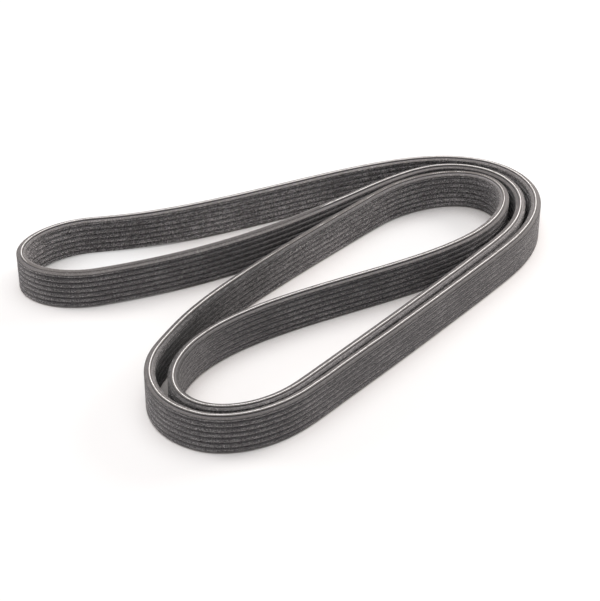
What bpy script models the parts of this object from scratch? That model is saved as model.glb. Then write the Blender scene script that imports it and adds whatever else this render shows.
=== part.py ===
# Endless drive belt with V-ribs on both faces, moulded in one piece.
# It stands on its cut edge. The loop is folded flat into a doubled strand, and the strand is coiled
# one and a half turns: a tail loop at one end of it, a core loop at the other, nested in the coil.
# Sizes are in millimetres and degrees. Plan positions start from the centre of the back turn.

import math

import bmesh
import bpy
from mathutils import Vector

MM = 0.001

# Belt section, the same all along
RIB_COUNT = 7             # ribs on each face
RIB_PITCH = 3.56          # from one rib to the next
RIB_HEIGHT = 2.12         # from the bottom of a groove to the tip of a rib
RIB_ANGLE = 40.0          # between the two flanks of a groove
GROOVE_FLAT = 0.36        # width of the bottom of a groove
WEB_THICKNESS = 2.0       # solid band between the grooves of the two faces, with the cords in it

# Back turn, as its middle ply runs: part of an ellipse whose long axis points at the nose of the turn
BACK_REACH = 66.7
BACK_HALF_WIDTH = 49.4
BACK_AXIS = 41.6
BACK_START = 29.3
BACK_END = -70.0

# Front turn, as its inner ply runs
FRONT_DISTANCE = 180.5
FRONT_BEARING = 234.4
FRONT_REACH = 51.0
FRONT_HALF_WIDTH = 35.3
FRONT_AXIS = 225.8
FRONT_START = 94.4
FRONT_END = -66.7

# Core loop, nested in the back turn
CORE_NOSE_GAP = 1.4
CORE_LEFT_GAP = 5.3
CORE_RIGHT_GAP = 7.0
CORE_START = 96.3
CORE_END = -50.1

# Tail loop
TAIL_DISTANCE = 208.9
TAIL_BEARING = 189.5
TAIL_REACH = 41.7
TAIL_HALF_WIDTH = 28.1
TAIL_AXIS = 196.2
TAIL_START = 90.3
TAIL_END = -102.9

# Air between the two plies of the doubled strand, from the top of the back turn to the end of the front turn
GAP_BACK_TOP = 3.1
GAP_BACK_NOSE = 3.8
GAP_BACK_SIDE = 2.1
GAP_MIDDLE = 1.5
GAP_FRONT_SIDE = 0.6
GAP_FRONT_NOSE = 1.9
GAP_FRONT_END = 9.2

# How far each strand holds its direction as it leaves one turn and meets the next, as shares of its span
RUN_PULL = (0.14, 0.16)
TAIL_UPPER_PULL = (0.36, 0.25)
TAIL_LOWER_PULL = (0.21, 0.57)
CORE_OUTER_PULL = (0.14, 0.77)
CORE_INNER_PULL = (0.28, 0.30)

# Fineness of the mesh
CURVE_STEPS = 60          # steps in each arc and strand of the route
STATIONS = 99             # sections placed along the belt
STATION_BIAS = 0.6        # power of the curvature that draws the stations together
STRAIGHT_BEND = 0.002     # curvature that a straight stretch counts as having, per millimetre
CREASE_ANGLE = 30.0       # edges sharper than this are not smoothed over


def ply_thickness():
    return WEB_THICKNESS + 2 * RIB_HEIGHT


def heading(degrees):
    angle = math.radians(degrees)
    return Vector((math.cos(angle), math.sin(angle)))


class Turn:
    # Part of an ellipse. Angles are counted from its nose, and all turns are run with falling angle.

    def __init__(self, centre, reach, half_width, axis):
        self.centre = centre
        self.reach = reach
        self.half_width = half_width
        self.along = heading(axis)
        self.across = heading(axis + 90)

    def point(self, degrees):
        side = heading(degrees)
        return self.centre + self.along * self.reach * side.x + self.across * self.half_width * side.y

    def direction(self, degrees):
        side = heading(degrees)
        return (self.along * self.reach * side.y - self.across * self.half_width * side.x).normalized()

    def arc(self, start, end):
        sweep = (end - start) / CURVE_STEPS
        return [self.point(start + sweep * step) for step in range(CURVE_STEPS + 1)]


def strand(start, start_direction, end, end_direction, pull):
    # A cubic curve between two turns.
    span = (end - start).length
    leaving = start + start_direction * pull[0] * span
    meeting = end - end_direction * pull[1] * span
    points = []
    for step in range(CURVE_STEPS + 1):
        t = step / CURVE_STEPS
        s = 1 - t
        points.append(s**3 * start + 3 * s * s * t * leaving + 3 * s * t * t * meeting + t**3 * end)
    return points


def directions(points, closed=False):
    # Unit direction of travel at each point.
    last = len(points) - 1
    result = []
    for index in range(len(points)):
        before = points[index - 1] if closed or index > 0 else points[0]
        after = points[(index + 1) % len(points)] if closed or index < last else points[last]
        result.append((after - before).normalized())
    return result


def left_of(direction):
    return Vector((-direction.y, direction.x))


def outer_ply(inner):
    # The ply that lies against the given one on its left, with the air between them eased
    # from one stated gap to the next.
    gaps = (GAP_BACK_TOP, GAP_BACK_NOSE, GAP_BACK_SIDE, GAP_MIDDLE,
            GAP_FRONT_SIDE, GAP_FRONT_NOSE, GAP_FRONT_END)
    points = []
    for index, (point, direction) in enumerate(zip(inner, directions(inner))):
        place = index / (len(inner) - 1) * (len(gaps) - 1)
        lower = min(int(place), len(gaps) - 2)
        share = place - lower
        ease = share * share * (3 - 2 * share)
        gap = gaps[lower] + (gaps[lower + 1] - gaps[lower]) * ease
        points.append(point + left_of(direction) * (ply_thickness() + gap))
    return points


def belt_route():
    # The closed middle line of the belt in plan.
    thickness = ply_thickness()
    back = Turn(Vector((0, 0)), BACK_REACH, BACK_HALF_WIDTH, BACK_AXIS)
    front = Turn(heading(FRONT_BEARING) * FRONT_DISTANCE, FRONT_REACH, FRONT_HALF_WIDTH, FRONT_AXIS)
    tail = Turn(heading(TAIL_BEARING) * TAIL_DISTANCE, TAIL_REACH, TAIL_HALF_WIDTH, TAIL_AXIS)
    core_shift = (CORE_RIGHT_GAP - CORE_LEFT_GAP) / 2
    core = Turn(back.centre + back.across * core_shift,
                BACK_REACH - thickness - CORE_NOSE_GAP,
                BACK_HALF_WIDTH - thickness - (CORE_LEFT_GAP + CORE_RIGHT_GAP) / 2,
                BACK_AXIS)

    middle_back = back.arc(BACK_START, BACK_END)
    inner_front = front.arc(FRONT_START, FRONT_END)
    run = strand(middle_back[-1], back.direction(BACK_END),
                 inner_front[0], front.direction(FRONT_START), RUN_PULL)
    inner = middle_back + run[1:-1] + inner_front
    outer = outer_ply(inner)
    outer_direction = directions(outer)

    tail_arc = tail.arc(TAIL_START, TAIL_END)
    core_arc = core.arc(CORE_START, CORE_END)
    tail_upper = strand(tail_arc[-1], tail.direction(TAIL_END), outer[0], outer_direction[0],
                        TAIL_UPPER_PULL)
    core_outer = strand(outer[-1], outer_direction[-1], core_arc[0], core.direction(CORE_START),
                        CORE_OUTER_PULL)
    core_inner = strand(core_arc[-1], core.direction(CORE_END), inner[-1], -front.direction(FRONT_END),
                        CORE_INNER_PULL)
    tail_lower = strand(inner[0], -back.direction(BACK_START), tail_arc[0], tail.direction(TAIL_START),
                        TAIL_LOWER_PULL)

    route = []
    for piece in (tail_arc, tail_upper, outer, core_outer, core_arc, core_inner, inner[::-1], tail_lower):
        route += piece[:-1]
    return route


def belt_stations():
    # Places along the closed route, closer together where it bends more, each with its normal.
    route = belt_route()
    route_directions = directions(route, closed=True)
    weights = []
    for index, point in enumerate(route):
        following = (index + 1) % len(route)
        length = (route[following] - point).length
        bend = route_directions[index].angle(route_directions[following]) / length
        weights.append(length * (bend + STRAIGHT_BEND) ** STATION_BIAS)
    share = sum(weights) / STATIONS

    stations = []
    passed = 0.0
    for index, weight in enumerate(weights):
        following = (index + 1) % len(route)
        while len(stations) < STATIONS and len(stations) * share < passed + weight:
            part = (len(stations) * share - passed) / weight
            point = route[index].lerp(route[following], part)
            direction = route_directions[index].lerp(route_directions[following], part).normalized()
            stations.append((point, left_of(direction)))
        passed += weight
    return stations


def belt_section():
    # Outline of the section as (offset, height) pairs: up the left face and down the right one.
    root = WEB_THICKNESS / 2
    tip = root + RIB_HEIGHT
    flank = RIB_HEIGHT * math.tan(math.radians(RIB_ANGLE / 2))
    rib_profile = ((root, GROOVE_FLAT / 2), (tip, GROOVE_FLAT / 2 + flank),
                   (tip, RIB_PITCH - GROOVE_FLAT / 2 - flank), (root, RIB_PITCH - GROOVE_FLAT / 2))
    face = [(root, 0.0)]
    for rib in range(RIB_COUNT):
        for offset, height in rib_profile:
            face.append((offset, rib * RIB_PITCH + height))
    face.append((root, RIB_COUNT * RIB_PITCH))
    other_face = [(-offset, height) for offset, height in reversed(face)]
    return face + other_face


def rubber():
    material = bpy.data.materials.new("black_rubber")
    material.use_nodes = True
    shader = material.node_tree.nodes["Principled BSDF"]
    shader.inputs["Base Color"].default_value = (0.075, 0.070, 0.073, 1)
    shader.inputs["Roughness"].default_value = 0.72
    shader.inputs["Metallic"].default_value = 0.0
    return material


def ribbed_belt():
    stations = belt_stations()
    section = belt_section()
    mesh = bmesh.new()
    rings = []
    for point, normal in stations:
        ring = []
        for offset, height in section:
            place = point + normal * offset
            ring.append(mesh.verts.new((place.x * MM, place.y * MM, height * MM)))
        rings.append(ring)
    for ring, next_ring in zip(rings, rings[1:] + rings[:1]):
        for corner in range(len(section)):
            following = (corner + 1) % len(section)
            mesh.faces.new((ring[corner], ring[following], next_ring[following], next_ring[corner]))
    bmesh.ops.recalc_face_normals(mesh, faces=mesh.faces)

    # The origin is the middle of the footprint, on the ground.
    xs = [corner.co.x for corner in mesh.verts]
    ys = [corner.co.y for corner in mesh.verts]
    middle = Vector(((min(xs) + max(xs)) / 2, (min(ys) + max(ys)) / 2, 0))
    bmesh.ops.translate(mesh, verts=mesh.verts, vec=-middle)

    data = bpy.data.meshes.new("ribbed_belt")
    mesh.to_mesh(data)
    mesh.free()
    data.shade_smooth()
    data.set_sharp_from_angle(angle=math.radians(CREASE_ANGLE))
    data.materials.append(rubber())
    belt = bpy.data.objects.new("ribbed_belt", data)
    bpy.context.scene.collection.objects.link(belt)
    return belt


def main():
    for item in list(bpy.data.objects):
        bpy.data.objects.remove(item, do_unlink=True)
    ribbed_belt()


main()
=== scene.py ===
# A double-sided ribbed drive belt, coiled on its cut edge, on a pale studio floor.
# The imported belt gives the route. The fine belt and its pale edge cord are swept along it.

import math
from types import SimpleNamespace

import bmesh
import bpy
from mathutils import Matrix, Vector


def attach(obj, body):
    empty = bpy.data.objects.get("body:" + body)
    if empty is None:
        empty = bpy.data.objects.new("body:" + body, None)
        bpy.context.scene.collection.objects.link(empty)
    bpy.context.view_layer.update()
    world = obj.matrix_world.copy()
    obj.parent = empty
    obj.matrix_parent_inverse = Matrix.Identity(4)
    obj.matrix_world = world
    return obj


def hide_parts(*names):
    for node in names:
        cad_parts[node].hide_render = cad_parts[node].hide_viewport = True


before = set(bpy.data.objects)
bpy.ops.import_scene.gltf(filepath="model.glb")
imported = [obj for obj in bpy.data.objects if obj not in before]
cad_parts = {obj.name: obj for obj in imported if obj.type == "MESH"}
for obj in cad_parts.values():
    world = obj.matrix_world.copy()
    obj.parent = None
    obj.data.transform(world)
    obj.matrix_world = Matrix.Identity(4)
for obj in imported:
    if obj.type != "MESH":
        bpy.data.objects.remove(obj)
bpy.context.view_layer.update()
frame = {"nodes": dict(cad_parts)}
mm = 0.001
print("frame loaded:", ", ".join(frame["nodes"]))


class Wire:
    # Wraps an output socket, so that masks and sizes are worked out as plain Python maths.

    def __init__(self, tree, socket):
        self.tree = tree
        self.socket = socket

    def maths(self, operation, other=None, flipped=False):
        # One Math node. The operations that have no Python sign are asked for by name.
        values = [self] if other is None else [self, other]
        if flipped:
            values.reverse()
        return self.tree.node("ShaderNodeMath", {"operation": operation}, dict(enumerate(values)))["Value"]

    def __add__(self, other):
        return self.maths("ADD", other)

    def __radd__(self, other):
        return self.maths("ADD", other, flipped=True)

    def __sub__(self, other):
        return self.maths("SUBTRACT", other)

    def __rsub__(self, other):
        return self.maths("SUBTRACT", other, flipped=True)

    def __mul__(self, other):
        return self.maths("MULTIPLY", other)

    def __rmul__(self, other):
        return self.maths("MULTIPLY", other, flipped=True)

    def __truediv__(self, other):
        return self.maths("DIVIDE", other)

    def __lt__(self, other):
        return self.maths("LESS_THAN", other)

    def __abs__(self):
        return self.maths("ABSOLUTE")


class MadeNode:
    # A finished node. Its outputs are read by name or number.

    def __init__(self, tree, made):
        self.tree = tree
        self.made = made

    def __getitem__(self, key):
        return Wire(self.tree, self.made.outputs[key])


class Tree:
    # A node tree, of a material, the sky or Geometry Nodes, that is filled from Python.

    def __init__(self, tree):
        self.tree = tree

    def node(self, kind, settings=None, inputs=None):
        # Settings come first. A socket gets a value or a link, and a list holds several links for one socket.
        made = self.tree.nodes.new(kind)
        for name, value in (settings or {}).items():
            if name == "curve":
                self.setCurve(made.mapping, value)
            else:
                setattr(made, name, value)
        for key, value in (inputs or {}).items():
            for one in (value if isinstance(value, list) else [value]):
                if isinstance(one, Wire):
                    self.tree.links.new(one.socket, made.inputs[key])
                else:
                    made.inputs[key].default_value = one
        return MadeNode(self, made)

    def setCurve(self, mapping, places):
        points = mapping.curves[0].points
        for index, (across, height) in enumerate(places):
            point = points[index] if index < 2 else points.new(across, height)    # a new curve has two
            point.location = (across, height)
            point.handle_type = "VECTOR"
        mapping.update()

    def lookUp(self, value, places):
        # Height at a value from 0 to 1, on the straight lines between (value, height) places.
        return self.node("ShaderNodeFloatCurve", {"curve": places}, {"Value": value})[0]

    def ramp(self, value, limits, kind="SMOOTHSTEP"):
        # 0 before the first limit, 1 past the second.
        low, high = limits
        return self.node("ShaderNodeMapRange", {"interpolation_type": kind}, {0: value, 1: low, 2: high})[0]

    def band(self, value, limits):
        # Rises between the first two of four limits, and falls between the last two.
        return self.ramp(value, limits[:2]) * (1 - self.ramp(value, limits[2:]))

    def noise(self, vector, scale, detail):
        return self.node("ShaderNodeTexNoise", {}, {"Vector": vector, "Scale": scale, "Detail": detail})[0]

    def mixColour(self, share, under, over):
        colours = [(*one, 1) if isinstance(one, tuple) else one for one in (under, over)]
        return self.node("ShaderNodeMix", {"data_type": "RGBA"}, {0: share, 6: colours[0], 7: colours[1]})[2]

    def vectorMaths(self, operation, inputs):
        return self.node("ShaderNodeVectorMath", {"operation": operation}, inputs)

    def vector(self, **parts):
        return self.node("ShaderNodeCombineXYZ", {}, parts)[0]

    def partsOf(self, vector):
        return self.node("ShaderNodeSeparateXYZ", {}, {0: vector})

    def placeInMm(self):
        place = self.node("ShaderNodeTexCoord")["Object"]
        return self.vectorMaths("SCALE", {0: place, "Scale": 1 / mm})["Vector"]


def newMaterial(name):
    material = bpy.data.materials.new(name)
    material.use_nodes = True
    material.node_tree.nodes.clear()
    return material, Tree(material.node_tree)


def newGroup(name, sizes):
    # A geometry tree with one named input for each size. A size without a value is a material.
    group = bpy.data.node_groups.new(name, "GeometryNodeTree")
    group.interface.new_socket("Geometry", in_out="INPUT", socket_type="NodeSocketGeometry")
    group.interface.new_socket("Geometry", in_out="OUTPUT", socket_type="NodeSocketGeometry")
    for label, value in sizes.items():
        kind = "Int" if isinstance(value, int) else "Float" if isinstance(value, float) else "Material"
        group.interface.new_socket(label, in_out="INPUT", socket_type="NodeSocket" + kind)
    tree = Tree(group)
    return tree, tree.node("NodeGroupInput")


def endGroup(tree, geometry, material):
    smooth = tree.node("GeometryNodeSetShadeSmooth", {}, {"Geometry": geometry})[0]
    real = tree.node("GeometryNodeRealizeInstances", {}, {"Geometry": smooth})[0]
    coloured = tree.node("GeometryNodeSetMaterial", {}, {"Geometry": real, "Material": material})[0]
    tree.node("NodeGroupOutput", {}, {"Geometry": coloured})


def sweptMesh(tree, path, sizes):
    # Puts the tree on the path, hands it the sizes and returns the result as a plain mesh.
    modifier = path.modifiers.new(tree.tree.name, "NODES")
    modifier.node_group = tree.tree
    for item in tree.tree.interface.items_tree:
        if item.in_out == "INPUT" and item.name in sizes:
            modifier[item.identifier] = sizes[item.name]
    graph = bpy.context.evaluated_depsgraph_get()
    mesh = bpy.data.meshes.new_from_object(path.evaluated_get(graph))
    path.modifiers.remove(modifier)
    bpy.data.objects.remove(path)
    return mesh


def addPiece(name, mesh):
    piece = bpy.data.objects.new(name, mesh)
    bpy.context.scene.collection.objects.link(piece)
    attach(piece, "root")
    return piece


# The route of the belt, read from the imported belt

routeSizes = {
    "merge": 0.001 * mm,                  # corners closer than this are one
    "flat": 0.01 * mm,                    # how far below the top the cut edge may lie
    "widest rung": 3 * mm,                # the cut edge between the ribs is narrower than this
    "start": Vector((0.0155, 0.0665)),    # where the cord sinks under the rubber, on the lower tail strand
    "steps": 5,                           # rings between two stations
}


def rungsInOrder(node):
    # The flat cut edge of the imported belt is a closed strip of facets. Each short edge across it is a rung.
    strip = bmesh.new()
    strip.from_mesh(node.data)
    bmesh.ops.remove_doubles(strip, verts=strip.verts, dist=routeSizes["merge"])
    top = max(corner.co.z for corner in strip.verts)
    rungs = [edge for edge in strip.edges if edge.calc_length() < routeSizes["widest rung"]
             and all(top - corner.co.z < routeSizes["flat"] for corner in edge.verts)]
    rungOf = {corner: rung for rung in rungs for corner in rung.verts}

    def neighbours(rung):
        corners = {edge.other_vert(corner) for corner in rung.verts for edge in corner.link_edges}
        return {rungOf[corner] for corner in corners if corner in rungOf} - {rung}

    order = [rungs[0], neighbours(rungs[0]).pop()]
    while len(order) < len(rungs):
        order.append((neighbours(order[-1]) - {order[-2]}).pop())
    ends = [[corner.co.copy() for corner in rung.verts] for rung in order]
    strip.free()
    return ends


def routeStations(node):
    # Middle and direction of travel at each rung, as flat vectors, clockwise from where the cord sinks.
    rungs = rungsInOrder(node)
    middles = [((a + b) / 2).to_2d() for a, b in rungs]
    stations = []
    for index, (a, b) in enumerate(rungs):
        ahead = middles[(index + 1) % len(middles)] - middles[index - 1]
        across = (a - b).to_2d().normalized()
        along = Vector((-across.y, across.x))
        stations.append((middles[index], along if along.dot(ahead) > 0 else -along))
    turning = sum(middles[index - 1].cross(middle) for index, middle in enumerate(middles))
    if turning > 0:
        stations = [(middle, -along) for middle, along in reversed(stations)]
    first = min(range(len(stations)), key=lambda i: (stations[i][0] - routeSizes["start"]).length)
    return stations[first:] + stations[:first]


def pathObject(stations, height):
    # A closed Bezier curve through the stations, at one height.
    curve = bpy.data.curves.new("beltPath", "CURVE")
    curve.dimensions = "3D"
    curve.resolution_u = routeSizes["steps"]
    spline = curve.splines.new("BEZIER")
    spline.bezier_points.add(len(stations) - 1)
    spline.use_cyclic_u = True
    for index, (point, (middle, along)) in enumerate(zip(spline.bezier_points, stations)):
        before = (middle - stations[index - 1][0]).length / 3
        after = (stations[(index + 1) % len(stations)][0] - middle).length / 3
        point.handle_left_type = point.handle_right_type = "FREE"
        point.co = middle.to_3d() + Vector((0, 0, height))
        point.handle_left = (middle - along * before).to_3d() + Vector((0, 0, height))
        point.handle_right = (middle + along * after).to_3d() + Vector((0, 0, height))
    path = bpy.data.objects.new("beltPath", curve)
    bpy.context.scene.collection.objects.link(path)
    return path


stations = routeStations(frame["nodes"]["ribbed_belt"])
beltPath = pathObject(stations, 0.0)
beltLength = beltPath.data.splines[0].calc_length()
print("route:", len(stations), "stations,", round(beltLength, 4), "m")


# Sizes of the fine belt

# Half a rib, from the middle of a groove to the middle of the tip: (share of the pitch, share of the height)
halfRib = ((0.0, 0.0), (0.055, 0.03), (0.115, 0.30), (0.235, 0.855), (0.262, 0.955), (0.305, 1.0), (0.5, 1.0))

# Half a cut edge, from the foot of the web to its middle: (share of half the web, share of the lip)
halfEdge = ((1.0, 0.86), (1.0, 0.22), (0.94, 0.05), (0.72, 0.0), (0.0, 0.0))

# How deep the cord is buried along the belt: (share of the belt, share of the full depth)
burial = ((0.0, 1.0), (0.079, 1.0), (0.087, 0.2), (0.095, 0.0),
          (0.49, 0.0), (0.52, 0.27), (0.6, 0.27), (0.63, 0.0), (0.988, 0.0), (1.0, 1.0))

beltSizes = {
    "Rib Count": 7,
    "Belt Width": 24.92 * mm,
    "Web Thickness": 2.0 * mm,
    "Rib Height": 2.12 * mm,
    "Edge Lip": 0.62 * mm,                 # how far the web stands above the root of the last rib
    "Lip Fill": 0.75,                      # share of the lip that the ribs fill where the cord is buried
    "Half Rows": len(halfRib) - 1,         # steps from the middle of a groove to the middle of a rib
    "Edge Rows": 2 * len(halfEdge) - 1,    # points across each cut edge
}
ribPitch = beltSizes["Belt Width"] / beltSizes["Rib Count"] / mm
faceRows = beltSizes["Rib Count"] * beltSizes["Half Rows"] * 2
ringSize = 2 * (faceRows + 1 + beltSizes["Edge Rows"])


# Rubber

rubber = {
    "colours": {
        "outer": (0.055, 0.052, 0.054),          # the darker, smoother face
        "inner": (0.056, 0.053, 0.0545),         # the face that lies inside the folded loop
        "outer flank": (0.072, 0.069, 0.071),    # sides of the ribs, painted lighter: painted light inside the grooves
        "inner flank": (0.088, 0.084, 0.086),
        # Painted light in the grooves: much lighter than the faces, so that the grooves show less shade
        "outer groove": (0.158, 0.151, 0.155),
        "inner groove": (0.250, 0.238, 0.243),
        "worn edge": (0.27, 0.258, 0.262),       # painted highlight, a thin pale line on the lower corners of the rib tips
        "cut edge": (0.130, 0.119, 0.114),
        "grime": (0.020, 0.019, 0.019),          # painted shade on the rib tips along some stretches, also beside the web, above the last rib
        "dust": (0.60, 0.578, 0.582),
        "black": (0.012, 0.012, 0.012),
        "fibre": (0.80, 0.78, 0.78),
    },

    # Where a mark begins and is full, and with four limits also where it fades and ends
    "limits": {
        "flank": (0.30, 0.42),                   # from the middle of a rib, 0, to a groove, 1
        "groove": (0.44, 0.56),
        "beside tip": (0.40, 0.60),
        "worn edge": (0.17, 0.23, 0.38, 0.45),
        "upper tip": (0.48, 0.60, 0.76, 0.82),   # from a groove, 0, to the groove above it, 1
        "upper flank": (0.68, 0.74, 0.82, 0.88),
        "beside web": (2.6, 3.2, 5.2, 5.8),      # points from the middle of the cut edge
        "lip": (0.0, 0.7),                       # share of the cord that shows
        "above gap": (19.5, 22.0),               # heights in mm
        "above tips": (21.5, 22.5),
        "fibres": (0.61, 0.68),                  # values of the noise
        "flecks": (0.50, 0.62),
        "dust": (0.545, 0.60),
        "no pit": (0.40, 0.46),
    },

    # How much of a mark shows. A pair is for the outer and the inner face.
    "shares": {
        "grime": (0.8, 1.0),
        "dust in grimy groove": (0.2, 0.0),
        "black in grimy groove": (0.0, 0.72),
        "black above grimy groove": 0.4,
        "dust on flank": 0.12,
        "dust on edge": 0.3,
        "worn edge": 0.36,
        "worn edge less for dust": 0.26,
        "worn edge more for grime": (1.35, 0.25),
        "cut edge less for dirt": 0.6,
        "dust": (0.66, 0.96),
        "pits": (0.85, 0.95),
        "fibres": (0.28, 0.52),
        "flecks": 0.07,
        "rough less on edge": 0.7,
        "rough less on top": 0.65,
        "dust less in groove": 0.8,
        "dust less for grime": (0.4, 0.7),
        "fibres less on top": 0.6,
        "fibres less for grime": (0.0, 0.55),
    },

    # Where the marks lie along the belt: (share of the belt, strength)
    "along": {
        # Painted shade on the rib tips, with painted light in the outer grooves, painted shade in the inner
        # grooves and stronger painted edge highlights
        "grime": ((0.0, 0.0), (0.28, 0.0), (0.31, 0.4), (0.39, 0.34), (0.42, 0.0), (0.455, 0.0),
                  (0.48, 1.0), (0.51, 0.95), (0.53, 0.55), (0.57, 0.5), (0.6, 0.0), (0.7, 0.0),
                  (0.725, 0.42), (0.74, 0.8), (0.765, 0.8), (0.78, 0.0), (1.0, 0.0)),
        # Dark upper half of each rib tip
        "tip shade": ((0.0, 0.5), (0.06, 0.4), (0.12, 0.66), (0.15, 0.9), (0.24, 0.85), (0.27, 0.3),
                      (0.31, 1.0), (0.39, 0.95), (0.42, 0.26), (0.455, 0.26), (0.48, 0.85), (0.57, 0.75),
                      (0.6, 0.5), (0.63, 0.5), (0.65, 1.0), (0.74, 1.0), (0.76, 0.3), (0.93, 0.3),
                      (0.96, 0.5), (1.0, 0.5)),
        # Painted light on the upper flanks, with the cut edges darker and the painted edge highlights weaker
        "dusty flank": ((0.0, 1.0), (0.05, 1.0), (0.08, 0.0), (0.63, 0.0), (0.66, 0.4), (0.73, 0.4),
                        (0.75, 0.0), (0.94, 0.0), (0.97, 1.0), (1.0, 1.0)),
        # Inner face black in the gap between two plies
        "gap shade": ((0.0, 0.0), (0.11, 0.0), (0.125, 0.25), (0.14, 0.25), (0.155, 0.0), (0.275, 0.0),
                      (0.295, 0.95), (0.33, 0.95), (0.35, 0.0), (0.435, 0.0), (0.45, 0.8), (0.475, 0.8),
                      (0.5, 0.0), (0.592, 0.0), (0.602, 0.35), (0.615, 0.35), (0.625, 0.0), (0.755, 0.0),
                      (0.77, 0.5), (0.8, 0.5), (0.82, 0.0), (0.885, 0.0), (0.905, 0.95), (0.93, 0.95),
                      (0.945, 0.0), (1.0, 0.0)),
        # Painted shade: black rib tips on the outer face of the lower tail strand, where it lies in a gap
        "black tips": ((0.0, 0.5), (0.02, 0.5), (0.045, 0.0), (0.96, 0.0), (0.985, 0.5), (1.0, 0.5)),
        # Painted shade on the corner between the last rib and the cut edge, where the plies nest
        "dirty top": ((0.0, 0.0), (0.76, 0.0), (0.78, 1.0), (0.88, 0.8), (0.9, 0.0), (1.0, 0.0)),
    },

    # Fineness per mm. A pair is for the outer and the inner face.
    "grain": (2.5, 2.0),
    "clouds": 0.05,
    "fibres along": 1.4,
    "fibres across": (2.8, 2.4),
    "flecks along": 0.3,
    "flecks across": 2.6,
    "noise shift": 100,                          # sets the streaks apart from point to point of the outline

    "more fibres inside": 0.02,
    "clouds in dust": 0.15,
    "relief": {"grain": 0.8, "fibres": 0.5, "strength": 0.8, "depth": 0.2 * mm},
    "gloss": (0.3, 0.7, 0.66, 0.88),             # two values of the grain, and the roughness at each
    "specular": 0.35,
}


def byFace(spot, pair):
    onOuter, onInner = pair
    return onOuter + spot.inner * (onInner - onOuter)


def beltSpot(tree):
    # Where a point lies on the belt, as numbers and as masks from 0 to 1.
    limits = rubber["limits"]
    strip = tree.partsOf(tree.node("ShaderNodeTexCoord")["UV"])
    spot = SimpleNamespace(inMm=tree.placeInMm())
    spot.run = strip["X"] / mm
    spot.share = strip["X"] / beltLength
    spot.outline = strip["Y"]
    spot.outer = spot.outline < 0.5
    spot.inner = 1 - spot.outer
    spot.height = tree.partsOf(spot.inMm)["Z"]
    spot.inRib = (spot.height / ribPitch).maths("FRACT")
    spot.nearGroove = abs(2 * spot.inRib - 1)
    spot.flank = tree.ramp(spot.nearGroove, limits["flank"])
    spot.upperTip = tree.band(spot.inRib, limits["upper tip"])
    spot.topEnd = 1 - (spot.height < (beltSizes["Belt Width"] / mm - ribPitch / 2))
    spot.grimy = tree.lookUp(spot.share, rubber["along"]["grime"])

    # Where the cord is buried, there is no lip and no groove beside it
    lip = tree.ramp(1 - tree.lookUp(spot.share, burial), limits["lip"])
    step = (2 * spot.outline).maths("FRACT") * (ringSize / 2)
    fromMiddle = abs(step - (faceRows + 1 + (beltSizes["Edge Rows"] - 1) / 2))
    spot.cutEdge = 1 - (step < faceRows + 0.5)
    spot.besideWeb = tree.band(fromMiddle, limits["beside web"]) * lip
    spot.groove = tree.ramp(spot.nearGroove, limits["groove"]) * (1 - spot.topEnd * (1 - lip))
    return spot


def layered(tree, colour, layers):
    # Each layer is a mask and the colour that it lays over those before it.
    for mask, name in layers:
        colour = tree.mixColour(mask, colour, rubber["colours"][name])
    return colour


def ribColour(tree, spot):
    # The rubber by its place on the section and along the belt, without its grain.
    colours, limits, shares, along = (rubber[name] for name in ("colours", "limits", "shares", "along"))
    tipShade = tree.lookUp(spot.share, along["tip shade"])
    dirty = tree.lookUp(spot.share, along["dirty top"])
    flankLight = tree.lookUp(spot.share, along["dusty flank"])
    corner = spot.topEnd * spot.flank
    grimyGroove = spot.groove * spot.grimy
    upperFlank = tree.band(spot.inRib, limits["upper flank"])
    lowerEdge = tree.band(spot.nearGroove, limits["worn edge"]) * (1 - spot.cutEdge) * (spot.inRib < 0.5)
    edgeHighlight = (shares["worn edge"] - flankLight * shares["worn edge less for dust"]
            + spot.grimy * byFace(spot, shares["worn edge more for grime"]))

    colour = tree.mixColour(spot.inner, colours["outer"], colours["inner"])
    # Painted light on the flanks of the ribs
    flankPaintedLight = tree.mixColour(spot.inner, colours["outer flank"], colours["inner flank"])
    # Painted light in the grooves
    groovePaintedLight = tree.mixColour(spot.inner, colours["outer groove"], colours["inner groove"])
    colour = tree.mixColour(spot.flank, colour, flankPaintedLight)
    colour = layered(tree, colour, (
        (spot.upperTip * tipShade, "black"),
        # The corner takes the cut edge colour, less of it where it gets painted shade
        (corner * (1 - dirty * shares["cut edge less for dirt"]), "cut edge"),
        # Painted shade on the tips along some stretches
        (spot.grimy * byFace(spot, shares["grime"]), "grime")))
    colour = tree.mixColour(spot.groove, colour, groovePaintedLight)
    return layered(tree, colour, (
        # Painted light in the outer grooves and painted shade in the inner grooves, where the tips are
        # painted dark
        (grimyGroove * byFace(spot, shares["dust in grimy groove"]), "dust"),
        (grimyGroove * (byFace(spot, shares["black in grimy groove"])
                        + spot.upperTip * shares["black above grimy groove"]), "black"),
        # Painted light on the upper flanks, in the dust colour
        (upperFlank * flankLight * shares["dust on flank"], "dust"),
        # Painted highlight along the lower edge of each rib tip
        (lowerEdge * edgeHighlight, "worn edge"),
        (spot.cutEdge, "cut edge"),
        # Cut edge and corner darker where the flanks get painted light
        ((spot.cutEdge + corner) * flankLight * shares["dust on edge"], "outer"),
        # Painted shade beside the web, above the last rib
        (spot.besideWeb, "grime")))


def streaks(tree, spot, along, across):
    # Noise drawn out along the belt.
    place = tree.vector(X=spot.run * along, Y=spot.height * across, Z=spot.outline * rubber["noise shift"])
    return tree.noise(place, 1.0, 1.0)


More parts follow.
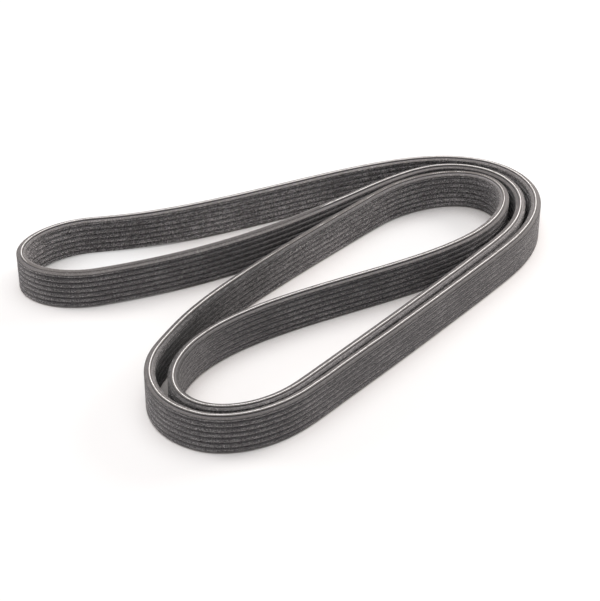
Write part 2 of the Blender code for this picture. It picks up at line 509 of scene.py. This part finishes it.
def rubberMaterial():
    material, tree = newMaterial("beltRubber")
    limits, shares, along, relief = (rubber[name] for name in ("limits", "shares", "along", "relief"))
    spot = beltSpot(tree)
    grain = tree.noise(spot.inMm, byFace(spot, rubber["grain"]), 1.0)
    clouds = tree.noise(spot.inMm, rubber["clouds"], 3.0)

    # Short chopped fibres lie along the belt, and pale flecks in the painted shade of the inner face
    fibreNoise = streaks(tree, spot, rubber["fibres along"], byFace(spot, rubber["fibres across"]))
    fibres = tree.ramp(fibreNoise + spot.inner * rubber["more fibres inside"], limits["fibres"])
    fibres = fibres * (1 - spot.groove * spot.outer)
    fleckNoise = streaks(tree, spot, rubber["flecks along"], rubber["flecks across"])
    flecks = tree.ramp(fleckNoise, limits["flecks"]) * spot.grimy * spot.inner

    # Dust and pits follow the grain, less of them on the smooth cut edge
    rough = ((1 - spot.besideWeb) * (1 - spot.cutEdge * shares["rough less on edge"])
             * (1 - spot.topEnd * shares["rough less on top"]))
    dusting = grain * (1 - rubber["clouds in dust"]) + clouds * rubber["clouds in dust"]
    dust = (tree.ramp(dusting, limits["dust"]) * rough * (1 - spot.groove * shares["dust less in groove"])
            * (1 - spot.grimy * byFace(spot, shares["dust less for grime"])))
    pits = (1 - tree.ramp(grain, limits["no pit"])) * rough
    fibreShare = (byFace(spot, shares["fibres"]) * (1 - spot.topEnd * shares["fibres less on top"])
                  * (1 - spot.grimy * byFace(spot, shares["fibres less for grime"])))

    # Painted shade: inner faces black in the narrow gaps, and outer rib tips black in the gap of the lower
    # tail strand
    inGap = tree.lookUp(spot.share, along["gap shade"]) * spot.inner
    inGap = inGap * (1 - tree.ramp(spot.height, limits["above gap"]))
    shadedTips = tree.lookUp(spot.share, along["black tips"]) * spot.outer
    shadedTips = (shadedTips * (1 - tree.ramp(spot.nearGroove, limits["beside tip"]))
                 * (1 - tree.ramp(spot.height, limits["above tips"])))
    colour = layered(tree, ribColour(tree, spot), (
        (dust * byFace(spot, shares["dust"]), "dust"),
        (pits * byFace(spot, shares["pits"]), "black"),
        (fibres * fibreShare + flecks * shares["flecks"], "fibre"),
        (inGap, "black"),
        (shadedTips, "black")))

    bumps = grain * relief["grain"] + fibres * relief["fibres"]
    bump = tree.node("ShaderNodeBump", {}, {
        "Strength": relief["strength"], "Distance": relief["depth"], "Height": bumps})["Normal"]
    gloss = tree.node("ShaderNodeMapRange", {}, dict(enumerate((grain, *rubber["gloss"]))))[0]
    shader = tree.node("ShaderNodeBsdfPrincipled", {}, {
        "Base Color": colour, "Roughness": gloss, "Specular IOR Level": rubber["specular"], "Normal": bump})
    tree.node("ShaderNodeOutputMaterial", {}, {"Surface": shader[0]})
    return material


# The fine belt

def evenSteps(heights):
    # Spreads the heights evenly from 0 to 1.
    return [(number / (len(heights) - 1), height) for number, height in enumerate(heights)]


def ribbedOutline(tree, sizes):
    # The points of a circle, moved by their number. The second half is the first one turned half round.
    places, rises = (evenSteps(heights) for heights in zip(*halfRib))
    sides, drops = (evenSteps(heights) for heights in zip(*halfEdge))
    faceSteps = sizes["Rib Count"] * sizes["Half Rows"] * 2
    half = faceSteps + 1 + sizes["Edge Rows"]
    pitch = sizes["Belt Width"] / sizes["Rib Count"]
    index = tree.node("GeometryNodeInputIndex")["Index"]
    second = 1 - (index < half - 0.5)
    step = index - half * second
    edge = 1 - (step < faceSteps + 0.5)

    # Up the face. The upper half of each rib mirrors its lower half.
    ribStep = step.maths("MINIMUM", faceSteps) / (2 * sizes["Half Rows"])
    inRib = ribStep.maths("FRACT")
    upper = 1 - (inRib < 0.5)
    halfStep = 1 - abs(2 * inRib - 1)
    place = tree.lookUp(halfStep, places)
    across = place + upper * (1 - 2 * place)
    evenHeight = pitch * (ribStep - inRib + across)

    # The outer half of each end rib is squeezed, to leave the lip
    squeezeLow = 1 - 2 * evenHeight / pitch
    squeezeHigh = 1 - 2 * (sizes["Belt Width"] - evenHeight) / pitch
    squeeze = squeezeLow.maths("MAXIMUM", 0) - squeezeHigh.maths("MAXIMUM", 0)
    faceHeight = evenHeight + sizes["Edge Lip"] * squeeze
    faceOffset = sizes["Web Thickness"] / 2 + sizes["Rib Height"] * tree.lookUp(halfStep, rises)

    # Over the cut edge, from one side of the web to the other
    edgeShare = 1 - 2 * (step - faceSteps - 1) / (sizes["Edge Rows"] - 1)
    edgeStep = 1 - abs(edgeShare)
    edgeOffset = sizes["Web Thickness"] / 2 * tree.lookUp(edgeStep, sides) * edgeShare.maths("SIGN")
    edgeHeight = sizes["Belt Width"] - sizes["Edge Lip"] * tree.lookUp(edgeStep, drops)
    offset = faceOffset + edge * (edgeOffset - faceOffset)
    height = faceHeight + edge * (edgeHeight - faceHeight)
    turned = 2 * second - 1

    # A swept outline has its X to the right of the path and its Y downwards
    corner = tree.vector(X=offset * turned, Y=height * turned - sizes["Belt Width"] * second)
    circle = tree.node("GeometryNodeCurvePrimitiveCircle", {"mode": "RADIUS"}, {"Resolution": 2 * half})[0]
    return tree.node("GeometryNodeSetPosition", {}, {"Geometry": circle, "Position": corner})[0]


def beltTree():
    tree, sizes = newGroup("sweepRibbedBelt", {**beltSizes, "Rubber": None})
    upright = tree.node("GeometryNodeSetCurveNormal", {"mode": "Z_UP"}, {"Curve": sizes["Geometry"]})[0]
    share = tree.node("GeometryNodeSplineParameter")["Factor"]
    marked = tree.node("GeometryNodeStoreNamedAttribute", {"data_type": "FLOAT", "domain": "POINT"}, {
        "Geometry": upright, "Name": "buried", "Value": tree.lookUp(share, burial)})[0]
    outline = ribbedOutline(tree, sizes)
    belt = tree.node("GeometryNodeCurveToMesh", {}, {"Curve": marked, "Profile Curve": outline})[0]

    # Where the cord is buried, the end ribs reach up to the cut edge
    buried = tree.node("GeometryNodeInputNamedAttribute", {"data_type": "FLOAT"}, {"Name": "buried"})[0]
    height = tree.partsOf(tree.node("GeometryNodeInputPosition")["Position"])["Z"]
    halfPitch = sizes["Belt Width"] / sizes["Rib Count"] / 2
    over = height - (sizes["Belt Width"] - halfPitch)
    stretch = sizes["Edge Lip"] / (halfPitch - sizes["Edge Lip"])
    lift = over.maths("MAXIMUM", 0) * stretch * sizes["Lip Fill"] * buried
    raised = tree.vector(Z=lift.maths("MINIMUM", sizes["Belt Width"] - height))
    belt = tree.node("GeometryNodeSetPosition", {}, {"Geometry": belt, "Offset": raised})[0]
    endGroup(tree, belt, sizes["Rubber"])
    return tree


def layUv(mesh):
    # U runs along the belt in metres, V round the outline from 0 to 1.
    rings = len(mesh.vertices) // ringSize
    spots = [corner.co for corner in mesh.vertices]
    middles = [(spots[ring * ringSize] + spots[ring * ringSize + ringSize // 2]) / 2 for ring in range(rings)]
    lengths = [0.0]
    for ring in range(rings):
        lengths.append(lengths[-1] + (middles[(ring + 1) % rings] - middles[ring]).length)
    layer = mesh.uv_layers.new(name="alongBelt").data
    for face in mesh.polygons:
        places = [divmod(corner, ringSize) for corner in face.vertices]
        closing = {ring for ring, step in places} == {0, rings - 1}
        wrapping = {step for ring, step in places} == {0, ringSize - 1}
        for loop, (ring, step) in zip(face.loop_indices, places):
            layer[loop].uv = (lengths[rings if closing and ring == 0 else ring],
                              (ringSize if wrapping and step == 0 else step) / ringSize)


beltMesh = sweptMesh(beltTree(), beltPath, {**beltSizes, "Rubber": rubberMaterial()})
layUv(beltMesh)
belt = addPiece("rubber_belt", beltMesh)
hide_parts("ribbed_belt")
print("belt:", len(beltMesh.polygons), "faces")


# The pale tensile cord that shows in the cut edge: two plies twisted round each other

cordSizes = {
    "Turns": 700,
    "Points Per Turn": 7,
    "Ring Points": 6,              # points round each ply
    "Ply Radius": 0.19 * mm,
    "Ply Offset": 0.15 * mm,       # from the middle of the cord to the middle of a ply
    "Sink Depth": 1.1 * mm,        # where the cord is fully buried
    "Wander": 0.16 * mm,           # how far the cord strays from the middle of the web
    "Side Waves": 45.0,            # how often it strays sideways and downwards, per metre
    "Depth Waves": 90.0,
    "Depth Start": 7.0,            # the two strays read the noise at places this far apart
}
cordLook = {
    "pale": (0.96, 0.945, 0.935),
    "dirty": (0.42, 0.40, 0.38),
    "dirt scale": 0.5,
    "dirt": (0.56, 0.76),          # values of the noise where the dirt begins and is full
    "roughness": 0.8,
}


def cordMaterial():
    material, tree = newMaterial("paleCord")
    dirt = tree.noise(tree.placeInMm(), cordLook["dirt scale"], 3.0)
    colour = tree.mixColour(tree.ramp(dirt, cordLook["dirt"], "LINEAR"), cordLook["pale"], cordLook["dirty"])
    shader = tree.node("ShaderNodeBsdfPrincipled", {}, {
        "Base Color": colour, "Roughness": cordLook["roughness"]})
    tree.node("ShaderNodeOutputMaterial", {}, {"Surface": shader[0]})
    return material


def cordTree():
    tree, sizes = newGroup("layTwistedCord", {**cordSizes, "Cord": None})
    upright = tree.node("GeometryNodeSetCurveNormal", {"mode": "Z_UP"}, {"Curve": sizes["Geometry"]})[0]
    line = tree.node("GeometryNodeResampleCurve", {"mode": "COUNT"}, {
        "Curve": upright, "Count": sizes["Turns"] * sizes["Points Per Turn"]})[0]
    along = tree.node("GeometryNodeSplineParameter")

    def stray(place, waves):
        noise = tree.node("ShaderNodeTexNoise", {"noise_dimensions": "1D"}, {"W": place, "Scale": waves})[0]
        return (noise - 0.5) * 2 * sizes["Wander"]

    sidestep = stray(along["Length"], sizes["Side Waves"])
    sunk = (sizes["Sink Depth"] * tree.lookUp(along["Factor"], burial)
            + stray(along["Length"] + sizes["Depth Start"], sizes["Depth Waves"]))
    twist = along["Factor"] * sizes["Turns"] * math.tau
    sideways = tree.node("GeometryNodeInputNormal")["Normal"]
    ring = tree.node("GeometryNodeCurvePrimitiveCircle", {"mode": "RADIUS"}, {
        "Resolution": sizes["Ring Points"], "Radius": sizes["Ply Radius"]})[0]
    plies = []
    for phase in (0.0, math.pi):
        turn = twist + phase
        out = tree.vectorMaths("SCALE", {
            0: sideways, "Scale": turn.maths("COSINE") * sizes["Ply Offset"] + sidestep})["Vector"]
        lift = tree.vector(Z=turn.maths("SINE") * sizes["Ply Offset"] - sunk)
        offset = tree.vectorMaths("ADD", {0: out, 1: lift})["Vector"]
        ply = tree.node("GeometryNodeSetPosition", {}, {"Geometry": line, "Offset": offset})[0]
        plies.append(tree.node("GeometryNodeCurveToMesh", {}, {"Curve": ply, "Profile Curve": ring})[0])
    endGroup(tree, tree.node("GeometryNodeJoinGeometry", {}, {"Geometry": plies})[0], sizes["Cord"])
    return tree


cordPath = pathObject(stations, beltSizes["Belt Width"])
cordMesh = sweptMesh(cordTree(), cordPath, {**cordSizes, "Cord": cordMaterial()})
addPiece("edge_cord", cordMesh)
print("cord:", len(cordMesh.polygons), "faces")


# Studio: pale floor, soft light and the camera of the photo

studio = {
    "floor size": 8.0,
    "floor colour": (0.915, 0.894, 0.886),
    "floor in gaps": (0.50, 0.47, 0.455),
    "look around": 0.10,           # how far the floor looks for walls, and in how many samples
    "look samples": 8,
    "deep gap": (0.08, 0.5),       # openness where the painted shade is full and where it has gone
    "open": (0.35, 0.95),          # openness where the glow begins and is full
    "floor glow": 0.5,             # share of plain white in what the camera sees of the open floor
    "white floor": (0.3, 0.8),     # how far out the floor turns to plain white
    "sky": (1.0, 0.99, 1.0),
    "sky strength": 0.3,
    "white": (1, 1, 1, 1),
}

# Painted light on the floor, inside the tail loop and the back turn: x, y and reach in mm, strength
paintedLightSpots = ((-108, 52, 62, 0.54), (78, 62, 50, 0.3))

lamps = {
    "top": {"from": (-0.1, 0.15, 1.5), "size": 1.7, "power": 15.5, "colour": (1.0, 0.985, 0.98)},
    "front": {"from": (-0.1, -1.4, 1.5), "size": 0.8, "power": 5.0, "colour": (1.0, 0.985, 0.98)},
    "right": {"from": (0.8, 0.5, 0.4), "size": 0.5, "power": 9.0, "colour": (1.0, 0.94, 0.90)},
    "left": {"from": (-1.5, 0.4, 0.6), "size": 0.8, "power": 16.0, "colour": (1.0, 0.95, 0.93)},
}
cameraSetup = {
    "target": Vector((10.14, 6.88, 0)) * mm,
    "distance": 1138 * mm,
    "elevation": math.radians(35.59),
    "lens": 113.16,
    "sensor": 36.0,
    "clip": (0.01, 50.0),
}


def seenDirectly(tree):
    # 1 for what the camera sees, straight or in a reflection, and 0 for what only lights the belt.
    ray = tree.node("ShaderNodeLightPath")
    return ray["Is Camera Ray"] + ray["Is Glossy Ray"] + ray["Is Transmission Ray"]


def floorMaterial():
    # A matt floor, mixed with plain white where it lies open or far out.
    material, tree = newMaterial("paleFloor")
    openness = tree.node("ShaderNodeAmbientOcclusion", {"samples": studio["look samples"]}, {
        "Distance": studio["look around"]})["AO"]
    # Painted shade on the floor in deep gaps, from how open the floor lies
    deep = tree.ramp(openness, studio["deep gap"], "LINEAR")
    colour = tree.mixColour(deep, studio["floor in gaps"], studio["floor colour"])
    matt = tree.node("ShaderNodeBsdfDiffuse", {}, {"Color": colour})[0]
    white = tree.node("ShaderNodeEmission", {}, {"Color": studio["white"], "Strength": 1.0})[0]
    place = tree.node("ShaderNodeTexCoord")["Object"]
    glow = tree.ramp(openness, studio["open"]) * studio["floor glow"]
    # Painted light in spots
    for x, y, reach, strength in paintedLightSpots:
        away = tree.vectorMaths("DISTANCE", {0: place, 1: (x * mm, y * mm, 0)})["Value"]
        glow = glow + tree.ramp(away, (reach * mm, 0.0)) * strength
    far = tree.vectorMaths("LENGTH", {0: place})["Value"]
    glow = glow + tree.ramp(far, studio["white floor"])
    glow = seenDirectly(tree) * glow.maths("MINIMUM", 1.0)
    mixed = tree.node("ShaderNodeMixShader", {}, {0: glow, 1: matt, 2: white})[0]
    tree.node("ShaderNodeOutputMaterial", {}, {"Surface": mixed})
    return material


def makeFloor():
    half = studio["floor size"] / 2
    corners = [(-half, -half, 0), (half, -half, 0), (half, half, 0), (-half, half, 0)]
    mesh = bpy.data.meshes.new("studioFloor")
    mesh.from_pydata(corners, [], [(0, 1, 2, 3)])
    mesh.materials.append(floorMaterial())
    floor = bpy.data.objects.new("studioFloor", mesh)
    bpy.context.scene.collection.objects.link(floor)


def makeSky():
    # Plain white behind the floor, and soft light from all round on the belt.
    world = bpy.data.worlds.new("studioSky")
    world.use_nodes = True
    world.node_tree.nodes.clear()
    tree = Tree(world.node_tree)
    soft = tree.node("ShaderNodeBackground", {}, {
        "Color": (*studio["sky"], 1), "Strength": studio["sky strength"]})[0]
    white = tree.node("ShaderNodeBackground", {}, {"Color": studio["white"], "Strength": 1.0})[0]
    mixed = tree.node("ShaderNodeMixShader", {}, {0: seenDirectly(tree), 1: soft, 2: white})[0]
    tree.node("ShaderNodeOutputWorld", {}, {"Surface": mixed})
    bpy.context.scene.world = world


def makeLamp(name, setup):
    light = bpy.data.lights.new(name, "AREA")
    light.size = setup["size"]
    light.energy = setup["power"]
    light.color = setup["colour"]
    lamp = bpy.data.objects.new(name, light)
    lamp.location = setup["from"]
    lamp.rotation_euler = (-Vector(setup["from"])).to_track_quat("-Z", "Y").to_euler()
    bpy.context.scene.collection.objects.link(lamp)


def makeCamera():
    data = bpy.data.cameras.new("photoCamera")
    data.lens = cameraSetup["lens"]
    data.sensor_width = cameraSetup["sensor"]
    data.sensor_fit = "HORIZONTAL"
    data.clip_start, data.clip_end = cameraSetup["clip"]
    camera = bpy.data.objects.new("photoCamera", data)
    rise = cameraSetup["elevation"]
    back = Vector((0, -math.cos(rise), math.sin(rise)))
    camera.location = cameraSetup["target"] + back * cameraSetup["distance"]
    camera.rotation_euler = (-back).to_track_quat("-Z", "Y").to_euler()
    bpy.context.scene.collection.objects.link(camera)
    bpy.context.scene.camera = camera


makeFloor()
makeSky()
for lampName, lampSetup in lamps.items():
    makeLamp(lampName, lampSetup)
makeCamera()
bpy.context.scene.view_settings.view_transform = "Standard"
print("studio ready")
